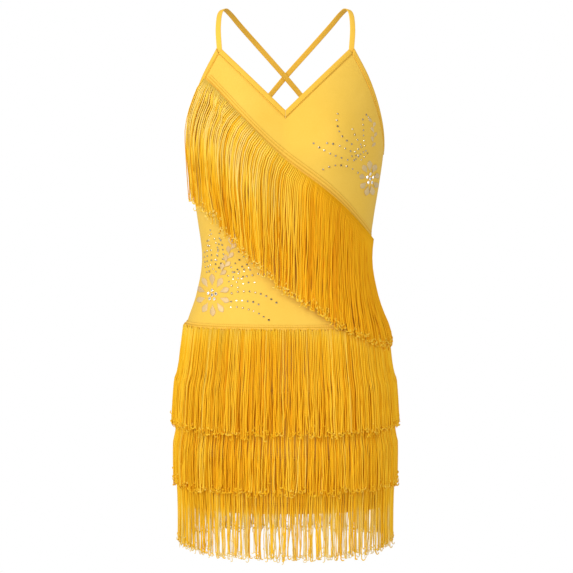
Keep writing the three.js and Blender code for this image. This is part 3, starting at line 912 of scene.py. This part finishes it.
# %% Skirt tiers
# levels of a tier's inner side and how far it stands off the cloth there, tip to tape
TIER_HANG = (
    ((-604, 6.5), (-532, 5.0), (-518, 0.8), (-492, 0.6), (-459, 0.6)),
    ((-685, 5.6), (-625, 5.0), (-611, 0.8), (-590, 0.6), (-546, 0.6)),
    ((-777, 1.0), (-712, 1.0), (-650, 1.0), (-639, 0.6)),
)
GIRTH = 930.0
SIDE_RISE = (7.0, 2.0, 8.0)
CLUMP_WIDTHS = (7.0, 7.0, 9.0)
INNER_SHARE = 0.66


def wander(count, s, rng):
    """Sideways millimetres of each strand: a slow and a quick wave, none at the tape."""
    phase = rng.uniform(0, 2 * np.pi, (count, 2, 1))
    slow = 0.7 * np.sin(phase[:, 0] + s * rng.uniform(3, 8, (count, 1)))
    quick = 0.6 * np.sin(phase[:, 1] + s * rng.uniform(12, 20, (count, 1)))
    return (slow + quick) * s ** 0.5 + rng.normal(0, 1.5, (count, 1)) * s ** 1.5


def tier_paths(tier, pitch, layers, rng, gather, free_from):
    """
    Paths of one tier's strands. The angle drifts with the strand's own waves and with its
    clump, by gather, from level free_from down; lift is the tier's hang plus the layer's.
    """
    steps = 10
    count = int(GIRTH / pitch) * layers
    angle = -90 + 360 * (np.arange(count) + rng.uniform(-0.3, 0.3, count)) / count
    layer = np.arange(count) % layers
    top = TAPE_TOPS[tier] - TAPE_WIDTH + 4.0 + rng.uniform(-2.2, 2.2, (count, 1))
    bottom = FRINGE_BOTTOMS[tier] + 3.5 + rng.normal(0, 3.2, count) + rng.gamma(1.2, 2.2, count)
    bottom += SIDE_RISE[tier] * np.sin(np.radians(angle)) ** 4
    s = np.linspace(0, 1, steps)[None, :] ** 0.9
    z = top + s * (bottom[:, None] - top)
    over_tape = smooth_step(z, TAPE_TOPS[tier] - TAPE_WIDTH - 6, TAPE_TOPS[tier] - TAPE_WIDTH)
    lift = np.interp(z, *np.array(TIER_HANG[tier]).T) + STRAND_RADIUS * 0.8
    lift += layer[:, None] * (1.3 if layers < 3 else 0.9)
    lift += rng.uniform(0, 0.5, (count, 1)) + 1.2 * s ** 3 * rng.uniform(-0.3, 1, (count, 1))
    lift += 0.9 * over_tape
    free = np.clip((free_from - z) / (free_from - FRINGE_BOTTOMS[tier]), 0, 1)
    drift = clump(angle * GIRTH / 360, CLUMP_WIDTHS[tier], gather, rng)[:, None] * free ** 0.8
    angles = angle[:, None] + (drift + wander(count, s, rng)) * 360 / GIRTH
    return lifted(angles, z, lift), facing(angles, z), layer


def tips(steps):
    """A share that rises from 0 to 1 towards the end of a strand, hook and all."""
    return smooth_step(np.linspace(0, 1, steps), 0.7, 0.95)[None, :]


def tones(count, steps, rng, layer, layers):
    """Random tone per strand plus painted light: outer layers, tips and tops brighter."""
    # painted shade and light: inner layers darker, outer layers lighter
    base = rng.normal(0.34, 0.13, count) + 0.1 * (layer - (layers - 1) / 2)
    along = np.linspace(0, 1, steps)[None, :]
    # painted highlights: the tips and the tops of the strands lighter
    ends = 0.2 * tips(steps) + 0.3 * (1 - smooth_step(along, 0, 0.12))
    return np.clip(base[:, None] + ends, 0, 0.68)


def thin_inner(paths, radii, tone, layer, rng):
    """Thins most lowest-tier strands and makes them paler where they hang free: painted light."""
    inner = ((layer < 2) | (rng.random(len(layer)) < 0.35))[:, None]
    z = paths[..., 2]
    free = (1 - smooth_step(z, CLOTH_HEM - 4, CLOTH_HEM + 6)) * rng.uniform(0.6, 1.0, (len(z), 1))
    # painted light: tone drawn towards pale where the strands hang free below the hem
    painted_paler = tone + (0.95 - tone) * free
    return radii * np.where(inner, INNER_SHARE, 1), np.where(inner, painted_paler, tone)


skirt_fringes = []
# each tier: spacing of its strands, layers, strength of its clumps, and where they begin
TIERS = ((2.2, 2, 0.25, -470), (2.2, 2, 0.25, -560), (2.5, 3, 0.55, -700))
for tier, (pitch, layers, gather, free_from) in enumerate(TIERS):
    paths, out, layer = tier_paths(tier, pitch, layers, random, gather, free_from)
    paths, out = hooks(paths, out, random)
    radii = strand_radii(len(paths), paths.shape[1], random)
    tone = tones(len(paths), paths.shape[1], random, layer, layers)
    if tier == 2:
        radii, tone = thin_inner(paths, radii, tone, layer, random)
    skirt_fringes.append(tubes(f"skirt_strands_{tier + 1}", paths, radii, out, tone))

# %% [markdown]
# ## The bodice fringe
# These strands hang from a slanting tape over a curved body, so each falls its own way. It
# leaves square to the tape, slides down the steepest way while the body widens under it,
# hangs plumb where the body falls away, and meets it again at the hip. The loop below moves
# all strands one small step at a time, as whole arrays.

# %% The fall of a strand
# strands' lengths and the way they leave the tape, how far that lasts, and how high they lie
BODICE_STRAND = 174.0
BODICE_STRAND_RIGHT = 152.0
DIAGONAL_RUN = 330.0
EXIT = np.array([-1.25, 0.0, -1.0])
TURN_LEFT, TURN_RIGHT = 62.0, 5.0
OVER_SKIRT, BODICE_LIE = 4.4, 1.7
START_INSIDE = 2.0
FLATTENED = 0.35
# painted light in the strands' tone: a painted highlight at the tips, a cap on the tone, painted
# light at the left and painted shade at the right, as if lit from the upper left
TIP_PAINTED_HIGHLIGHT = 0.3
MOST_TONE, LEFT_PAINTED_LIGHT, RIGHT_PAINTED_SHADE = 0.46, 0.18, -0.11
LEFT_SPREAD, LEFT_PRESSED, LEFT_DRAWN_IN = 9.0, 0.8, 0.4
DRAWN_IN = 0.6


def angle_of(points):
    """The figure's angle at points of its surface, from their shares of width and depth."""
    x, y, z = np.moveaxis(points, -1, 0)
    depth = np.where(y > 0, measure(BACK_DEPTH, z), measure(FRONT_DEPTH, z))
    across = (np.abs(x) / measure(HALF_WIDTH, z)) ** (1 / ROUNDNESS)
    along = (np.abs(y) / depth) ** (1 / ROUNDNESS)
    quarter = np.degrees(np.arctan2(across, along))
    return np.sign(x) * np.where(y > 0, 180 - quarter, quarter)


def angle_under(points, lift):
    """The figure's angle beneath points that stand above it by lift."""
    angle = angle_of(points)
    for _ in range(3):
        out = facing(angle, points[..., 2]) * [1, 1, 0]
        angle = angle_of(points - out * lift[..., None])
    return angle


def strand_lift(z):
    """How high the strands lie: higher over the first tier of the skirt."""
    over = 1 - smooth_step(z, TAPE_TOPS[0] - 16, TAPE_TOPS[0] + 14)
    return BODICE_LIE + (OVER_SKIRT - BODICE_LIE) * over


def strand_falls(t, x, extra, length, keep=11, substeps=5):
    """
    Paths of strands from shares t of the tape, of keep points each, and the way each point
    faces. At the left the strands stand apart at first, then press together; in front and
    at the left they are drawn towards the body, more and more to their tips.
    """
    across, start = below_tape(t, x, -START_INSIDE)
    step = (length / keep / substeps)[:, None]
    turning = TURN_LEFT + (TURN_RIGHT - TURN_LEFT) * np.minimum(1, t / 0.5)
    angle = angle_at(across, start)
    point = lifted(angle, start, strand_lift(start) + extra)
    paths, outs = [point], [facing(angle, start)]
    left = 1 - smooth_step(t, 0, 0.3)
    apart = extra
    for i in range(1, keep * substeps + 1):
        s = i / (keep * substeps)
        spread = LEFT_SPREAD * smooth_step(s, 0, 0.15) * (1 - smooth_step(s, 0.25, 0.6))
        extra = apart * (1 - LEFT_PRESSED * left * smooth_step(s, 0.2, 0.5)) + spread * left
        lift = strand_lift(point[:, 2]) + extra
        here = facing(angle_under(point, lift), point[:, 2])
        widening = np.maximum(here[:, 2:], 0)
        way = unit(np.array([0, 0, -1.0]) + here * widening)
        square = unit(EXIT - here * (here @ EXIT)[:, None])
        near = np.exp(-i * step[:, 0] / turning)[:, None]
        point = point + unit(way * (1 - near) + square * near) * step
        lift = strand_lift(point[:, 2]) + extra
        angle = angle_under(point, lift)
        floor = lifted(angle, point[:, 2], lift)
        resting = np.hypot(point[:, 0], point[:, 1]) < np.hypot(floor[:, 0], floor[:, 1]) + 0.4
        point = np.where(resting[:, None], floor, point) * [1, 1, 0] + point * [0, 0, 1]
        if i % substeps == 0:
            share = DRAWN_IN * s * (1 - smooth_step(np.abs(angle), 35, 60))
            share = np.maximum(share, LEFT_DRAWN_IN * smooth_step(s, 0.3, 0.9) * left)
            paths.append(point + (floor - point) * [1, 1, 0] * share[:, None])
            outs.append(unit(facing(angle, point[:, 2]) * [1, 1, 0]))
    return np.stack(paths, axis=1), np.stack(outs, axis=1)


def sheen_band(share, steps):
    """Extra tone where the strands bend over the left of the bust and shine."""
    along = np.linspace(0, 1, steps)[None, :]
    return 0.36 * np.exp(-((along - 0.22) / 0.2) ** 2) * (1 - smooth_step(share, 0.2, 0.6))


def bodice_strands(pitch, layers, rng):
    """Paths of the bodice fringe, in layers, with clumps, a wander and a sway of their own."""
    count = int(DIAGONAL_RUN / pitch) * layers
    t = (np.arange(count) + rng.uniform(-0.3, 0.3, count).clip(0, 1)) / (count - 1)
    t = t.clip(0, 1)
    layer = np.arange(count) % layers
    extra = layer * 1.15 + rng.uniform(0, 0.4, count)
    length = BODICE_STRAND + (BODICE_STRAND_RIGHT - BODICE_STRAND) * t ** 3
    length = length + rng.normal(0, 3.2, count) - rng.gamma(1.3, 3.2, count) + 4
    paths, out = strand_falls(t, diagonal_xs(t), extra, length)
    s = np.linspace(0, 1, paths.shape[1])[None, :]
    drift = clump(t * DIAGONAL_RUN, 7.0, 0.3, rng)[:, None] * s ** 1.6 + 1.4 * wander(count, s, rng)
    side = unit(np.cross(out, np.array([0, 0, 1.0])))
    sway = rng.uniform(-0.3, 1.0, (count, 1)) * s ** 2
    paths = paths - side * drift[..., None] + out * sway[..., None]
    return paths, out, layer


paths, out, layer = bodice_strands(pitch=1.9, layers=3, rng=random)
paths, out = hooks(paths, out, random)
count, steps = paths.shape[:2]
share = np.linspace(0, 1, count)[:, None]
left = 1 - smooth_step(share, 0.25, 0.6)
radii = strand_radii(count, steps, random)
radii[:, :2] *= 1 + FLATTENED * left * [1, 0.5]
# painted light: tone capped, raised at the left and lowered at the right as painted light and
# shade, with painted highlights over the bust and at the tips
tone = np.minimum(tones(count, steps, random, layer, 3), MOST_TONE + LEFT_PAINTED_LIGHT * left)
tone += RIGHT_PAINTED_SHADE * (1 - left) - 0.03 + sheen_band(share, steps) + TIP_PAINTED_HIGHLIGHT * tips(steps)
bodice_fringe = tubes("bodice_strands", paths, radii, out, np.clip(tone, 0, 0.8))

# %% [markdown]
# ## Stitches
# The bindings and the hem are held by top-stitching. Bump alone would vanish from the side,
# so each stitch is a short sunken capsule of thread, laid along a line on the cloth.

# %% Rows of stitches
STITCH, STITCH_GAP, THREAD_RADIUS = 2.6, 0.3, 0.4
FROM_SEAM = 0.12


def stitch_row(line, lift):
    """Paths of stitches along a line of (angle, z) places: 4 points each, ends dipping in."""
    s = run_length(on_figure(line[:, 0], line[:, 1]))
    starts = np.arange(0.6, s[-1] - STITCH, STITCH + STITCH_GAP)
    at = starts[:, None] + STITCH * np.array([0, 0.25, 0.75, 1.0])
    angle, z = np.interp(at, s, line[:, 0]), np.interp(at, s, line[:, 1])
    return lifted(angle, z, lift + np.array([-0.3, 0.05, 0.05, -0.3])), facing(angle, z)


def stitched(name, rows):
    """All rows of stitches as one piece."""
    paths = np.concatenate([path for path, _ in rows])
    out = np.concatenate([way for _, way in rows])
    radius = np.full(paths.shape[:2], THREAD_RADIUS)
    return tubes(name, paths, radius, out, np.full(paths.shape[:2], 0.5))


def top_stitch(seam, edge):
    """A row along a binding, a small share of its width from the seam."""
    return stitch_row(seam + FROM_SEAM * (edge - seam), 0.4)


rows = []
for side in (-1, 1):
    rows += [top_stitch(*neck_lines(side)), top_stitch(*armhole_lines(side, 120))]
rows += [top_stitch(*back_lines(np.linspace(91, 269, 300)))]
for first, last in ((-89, 89), (91, 269)):
    angles = np.linspace(first, last, 300)
    rows += [stitch_row(pair(angles, 0 * angles + CLOTH_HEM + level), 0.05)
             for level in (12.0, 15.0)]
stitches = stitched("stitches", rows)

# %% [markdown]
# ## Petals and leaves
# Two flowers are fused to the cloth, at the left waist and at the right bust. Their petals
# are thin foil shapes with a fine hatch. Each petal is a small curved shell just above the
# cloth, so it follows the body. The flowers and sprays are a general pattern, set out here
# in millimetres across and up from the middle of each flower.

# %% Petal shapes
WAIST_FLOWER = np.array([-103.5, -408.0])
BUST_FLOWER = np.array([119.0, -243.0])


def lay(place, lift):
    """Points above the front of the cloth at (x, z) places."""
    x, z = place[..., 0], place[..., 1]
    return lifted(angle_at(x, z), z, lift)


def petals(name, feet, ways, lengths, widths):
    """
    Petals from feet (x, z) along ways, in degrees from straight across. A petal's half width
    is width / 2 * sin(pi * s ^ 1.5) at share s of its length, and it is a little domed.
    """
    s, across = np.meshgrid(np.linspace(0.02, 0.98, 9), np.linspace(-1, 1, 7), indexing="ij")
    half = np.sin(np.pi * s ** 1.5) * across / 2
    turn = np.radians(ways)[:, None, None]
    along, aside = lengths[:, None, None] * s, widths[:, None, None] * half
    x = feet[:, 0, None, None] + along * np.cos(turn) - aside * np.sin(turn)
    z = feet[:, 1, None, None] + along * np.sin(turn) + aside * np.cos(turn)
    dome = 0.35 + 0.3 * (1 - across ** 2) * np.sin(np.pi * s)
    outer, inner = lay(pair(x, z), dome + 0 * x), lay(pair(x, z), 0.1 + 0 * x)
    count, steps, columns = x.shape
    each = wall_faces(steps, columns)
    points = np.concatenate([inner.reshape(count, -1, 3), outer.reshape(count, -1, 3)], axis=1)
    faces = each[None] + (np.arange(count) * points.shape[1])[:, None, None]
    uv = np.tile(pair(aside, along).reshape(count, -1, 2) * MM, (1, 2, 1)).reshape(-1, 2)
    tone = np.repeat(random.uniform(0, 1, count), points.shape[1])
    return outwards(put(name, points.reshape(-1, 3), faces.reshape(-1, 4), uv, tone))


def ring_of(middle, count, first, inner, length, width, squeeze):
    """Petals evenly round a flower, squeezed across where the body turns away."""
    turn = np.radians(first + np.arange(count) * 360 / count)
    feet = middle + inner * pair(np.cos(turn) * squeeze, np.sin(turn))
    lengths = length * np.hypot(np.cos(turn) * squeeze, np.sin(turn))
    ways = np.degrees(np.arctan2(np.sin(turn), np.cos(turn) * squeeze))
    return feet, ways, lengths, np.full(count, width)


def vine(start, end, bend, count, length, width):
    """Leaves in pairs along a bent line, pointing up and outwards in turn."""
    line = bent_line(start, end, bend, count)
    way = np.degrees(np.arctan2(*(np.gradient(line, axis=0)[:, ::-1].T)))
    lean = np.where(np.arange(count) % 2, 24, -24)
    return line, way + lean, np.full(count, length), np.full(count, width)


def bent_line(start, end, bend, count):
    """Points on a shallow arc: straight from start to end plus bend * 4 s (1 - s) aside."""
    start, end = np.asarray(start, float), np.asarray(end, float)
    s = np.linspace(0, 1, count)[:, None]
    way = (end - start) / np.linalg.norm(end - start)
    return start + s * (end - start) + 4 * s * (1 - s) * bend * np.array([-way[1], way[0]])


def joined(*groups):
    """Several groups of petals as one."""
    return [np.concatenate(parts) for parts in zip(*groups)]


waist_petals = petals("waist_petals", *joined(
    ring_of(WAIST_FLOWER, 10, 20, 12.5, 17.5, 8.2, 0.86),
    vine(WAIST_FLOWER + [10, 28], WAIST_FLOWER + [30, 84], -3, 10, 12.5, 6.5),
))
bust_petals = petals("bust_petals", *joined(
    ring_of(BUST_FLOWER, 9, 12, 10, 15.5, 8.0, 0.62),
    vine(BUST_FLOWER + [2, 44], BUST_FLOWER + [3, 78], -3, 6, 9.0, 4.2),
))

# %% [markdown]
# ## Stones
# Hot-fix stones are cut glass with a foil back: a flat table, a ring of facets down to the
# girdle, and flat shading between them. The small ones run in curved sprays, and a handful
# of big ones fills the heart of each flower. One small template of facets is laid at every
# place at once.

# %% Cut stones
SIDES = 8


def stones(name, places, radii, lift=0.15):
    """
    Stones at (x, z) places. Rings at heights 0, 0.35 and 0.62 of the radius, of shares 1,
    0.9 and 0.5, each turned half a side from the last, with a table on top.
    """
    turn = np.arange(SIDES) * 2 * np.pi / SIDES
    template = np.concatenate([
        np.stack([share * np.cos(turn + half * np.pi / SIDES),
                  share * np.sin(turn + half * np.pi / SIDES), np.full(SIDES, height)], -1)
        for share, height, half in ((1.0, 0.0, 0.0), (0.9, 0.35, 0.5), (0.5, 0.62, 1.0))
    ] + [[[0, 0, 0.62], [0, 0, 0]]])
    i = np.arange(SIDES)
    j = (i + 1) % SIDES
    table, foot = 0 * i + 3 * SIDES, 0 * i + 3 * SIDES + 1
    faces = [np.stack([2 * SIDES + i, 2 * SIDES + j, table, table], -1),
             np.stack([j, i, foot, foot], -1)]
    for low, high in ((0, SIDES), (SIDES, 2 * SIDES)):
        faces += [np.stack([low + i, low + j, high + i, high + i], -1),
                  np.stack([low + j, high + j, high + i, high + i], -1)]
    middle = lay(places, np.full(len(places), lift))
    out = facing(angle_at(places[:, 0], places[:, 1]), places[:, 1])
    out = unit(out + random.normal(0, 0.09, out.shape))
    side = unit(np.cross([0, 0, 1.0], out))
    up = np.cross(out, side)
    spin = random.uniform(0, 2 * np.pi, len(places))[:, None]
    right = side * np.cos(spin) + up * np.sin(spin)
    axes = np.stack([right, np.cross(out, right), out], axis=1) * radii[:, None, None]
    points = middle[:, None, :] + template @ axes
    faces = np.concatenate(faces) + (np.arange(len(places)) * len(template))[:, None, None]
    # painted reflections: facet tone lighter at the rim, darker at the table, shifted per stone at
    # random
    rim_to_table = np.repeat([0.75, 0.65, 0.3, 0.1, 0.1], [SIDES, SIDES, SIDES, 1, 1])
    tone = rim_to_table + random.uniform(-0.25, 0.25, (len(places), 1))
    return outwards(put(name, points.reshape(-1, 3), faces.reshape(-1, 4),
                        np.zeros((tone.size, 2)), tone.reshape(-1), rounded=0))


# each spray: start and end, across and up from its flower, bend to the left, and count
WAIST_SPRAYS = [
    ((27, -16), (80, -33), 5.5, 8), ((27, -8), (66, -11), 3, 6), ((28, 4), (91, -9), 8, 9),
    ((37, 12), (60, 19), 3, 4), ((28, 14), (74, 31), 5, 7), ((24, 20), (54, 37), 3, 5),
    ((23, 28), (57, 47), 2, 6), ((27, 40), (45, 56), 0, 4), ((38, 62), (47, 80), -2, 3),
    ((5, 33), (12, 78), -7, 8), ((1, 37), (-1, 86), -8, 9), ((-3, 42), (-8, 76), -4, 6),
    ((-5, 33), (-8, 62), 1, 5), ((-9, 32), (-12, 60), 1, 5), ((30, 23), (44, 27), 0, 3),
    ((4, 50), (10, 88), -2, 6), ((-7, 70), (-3, 92), 0, 4), ((32, 33), (52, 40), -1, 4),
]
BUST_SPRAYS = [
    ((-27, 47), (-47, 89), 8.5, 7), ((-24, 25), (-80, 48), 4.5, 8), ((-21, 32), (-62, 48), -3.5, 6),
    ((-18, 8), (-67, 12), -8, 7), ((-14, 47), (-26, 68), 1, 4), ((-7, 38), (-11, 82), 1, 7),
    ((-6, 89), (-3, 86), 0, 2), ((-13, 44), (-22, 37), 0, 3), ((-10, 37), (-21, 27), 0, 4),
    ((-4, 35), (-13, 26), 0, 3), ((-18, 32), (-27, 31), 0, 2),
]


def heart(middle, squeeze, reach):
    """Six big stones: one in the middle and five round it."""
    turn = np.radians(18 + 72 * np.arange(5))
    ring = reach * pair(np.cos(turn) * squeeze, np.sin(turn))
    return middle + np.concatenate([[[0, 0]], ring])


sprays = [flower + bent_line(start, end, bend, count)
          for flower, rows in ((WAIST_FLOWER, WAIST_SPRAYS), (BUST_FLOWER, BUST_SPRAYS))
          for start, end, bend, count in rows]
places = np.concatenate(sprays) + random.normal(0, 0.25, (sum(map(len, sprays)), 2))
small_stones = stones("small_stones", places, random.uniform(1.35, 1.7, len(places)))
places = np.concatenate([heart(WAIST_FLOWER, 0.9, 6.6), heart(BUST_FLOWER, 0.7, 6.6)])
big_stones = stones("big_stones", places, np.full(len(places), 2.6), lift=0.7)
print("stones:", len(np.concatenate(sprays)) + len(places))

# %% Foil petals and glass
def foil(name, deep, bright):
    """Sheer hatched foil: fine slanted lines along the petal's own map, lighter between."""
    material, tree, shader = finish(name, 0.45, specular=0.5, metallic=0.15)
    across, along = cut_map(tree)
    slant = maths(tree, "ADD", across, maths(tree, "MULTIPLY", along, 0.6))
    line = wave(tree, slant, 1.15)
    bump(tree, shader, line, 0.4, 0.0002)
    own = maths(tree, "ADD", maths(tree, "MULTIPLY", tone_of(tree), 0.3), 0.35)
    mixed = maths(tree, "ADD", maths(tree, "MULTIPLY", line, 0.28), own)
    paint(tree, shader, mixed, [(0.1, deep), (0.9, bright)])
    return material


def glass(name, roughness, specular, stops, light=0.0):
    """Foil-backed glass: mirror facets, dark or light by a tone of painted reflection."""
    material, tree, shader = finish(name, roughness, specular, metallic=1.0)
    paint(tree, shader, tone_of(tree), stops)
    # painted light: a glow, though the stone is no lamp
    glow(shader, (1.0, 0.98, 0.95), light)
    return material


WAIST_FOIL = foil("petal_foil_warm", (0.62, 0.39, 0.15), (0.86, 0.62, 0.30))
BUST_FOIL = foil("petal_foil_grey", (0.60, 0.41, 0.15), (0.86, 0.64, 0.32))
GLASS = glass("stone_foil", 0.06, 0.8, [
    (0.0, (0.20, 0.15, 0.09)), (0.4, (0.50, 0.42, 0.30)), (0.85, (0.95, 0.84, 0.62)),
])
# the big stones also glow faintly, as painted light
BIG_GLASS = glass("big_stone_foil", 0.04, 0.9, [
    (0.0, (0.10, 0.09, 0.08)), (0.25, (0.75, 0.73, 0.70)), (0.5, (1.0, 0.99, 0.97)),
], light=0.15)

# %% [markdown]
# ## Dressing the pieces
# Each piece takes its finish, rides on the one rigid body, and hides the CAD node it stands
# for, if it stands for one.

# %% Finishes, riding and replacing
def dress_with(piece, material, slot, *nodes):
    """Gives a piece its finish and hides the CAD nodes it stands for; slot is not used."""
    piece.data.materials.append(material)
    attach(piece, "root")
    if nodes:
        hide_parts(*nodes)


dress_with(front, CLOTH_GOLD, "cloth", "front_panel")
dress_with(back, CLOTH_GOLD, "cloth", "back_panel")
for node_name, piece in bindings.items():
    dress_with(piece, BINDING_GOLD, "binding", node_name)
dress_with(strap_left, STRAP_GOLD, "strap", "strap_left")
dress_with(strap_right, STRAP_GOLD, "strap", "strap_right")
dress_with(bodice_tape, TAPE_YARN, "tape", "bodice_tape")
dress_with(bodice_fringe, BODICE_YARN, "bodice_fringe", "bodice_fringe")
for tier in range(3):
    dress_with(skirt_tapes[tier], TAPE_YARN, "tape", f"skirt_tape_{tier + 1}")
    dress_with(skirt_fringes[tier], SKIRT_YARN, "skirt_fringe", f"skirt_fringe_{tier + 1}")
dress_with(stitches, THREAD, "binding")
dress_with(waist_petals, WAIST_FOIL, "cloth")
dress_with(bust_petals, BUST_FOIL, "cloth")
dress_with(small_stones, GLASS, "cloth")
dress_with(big_stones, BIG_GLASS, "cloth")

ON_FRONT = [
    *bindings.values(), strap_left, strap_right, bodice_tape, bodice_fringe, *skirt_tapes,
    *skirt_fringes, waist_petals, bust_petals, small_stones, big_stones, stitches,
]
ON_FRONT.remove(bindings["back_binding"])
